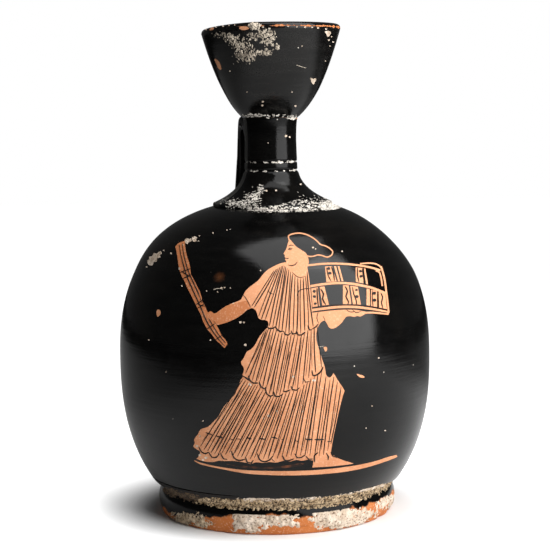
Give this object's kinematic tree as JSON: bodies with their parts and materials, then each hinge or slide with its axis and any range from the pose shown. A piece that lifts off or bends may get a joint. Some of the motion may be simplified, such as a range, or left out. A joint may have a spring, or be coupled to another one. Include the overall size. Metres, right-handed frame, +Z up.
{
  "type": "squat lekythos",
  "caption": "Squat lekythos: a round oil flask of black-gloss clay on a ring foot, with a slim neck, a bell mouth and a strap handle, for keeping and pouring oil.",
  "frame": {"origin": "centre of the foot's underside, on the wheel axis, at table height", "axes": "+Z up along the wheel axis, -Y towards the front with the painted figure, +Y towards the strap handle"},
  "size_m": [0.1156, 0.1156, 0.18],
  "materials": {
    "black_gloss": "satin black slip gloss on fired clay",
    "bare_clay": "matt orange fired clay"
  },
  "bodies": {
    "root": {"foot": "black_gloss", "foot_luting": "bare_clay", "body": "black_gloss", "neck_luting": "bare_clay", "neck": "black_gloss", "mouth_luting": "bare_clay", "mouth": "black_gloss", "handle": "black_gloss", "handle_top_luting": "bare_clay", "handle_root_luting": "bare_clay"}
  },
  "joints": []
}
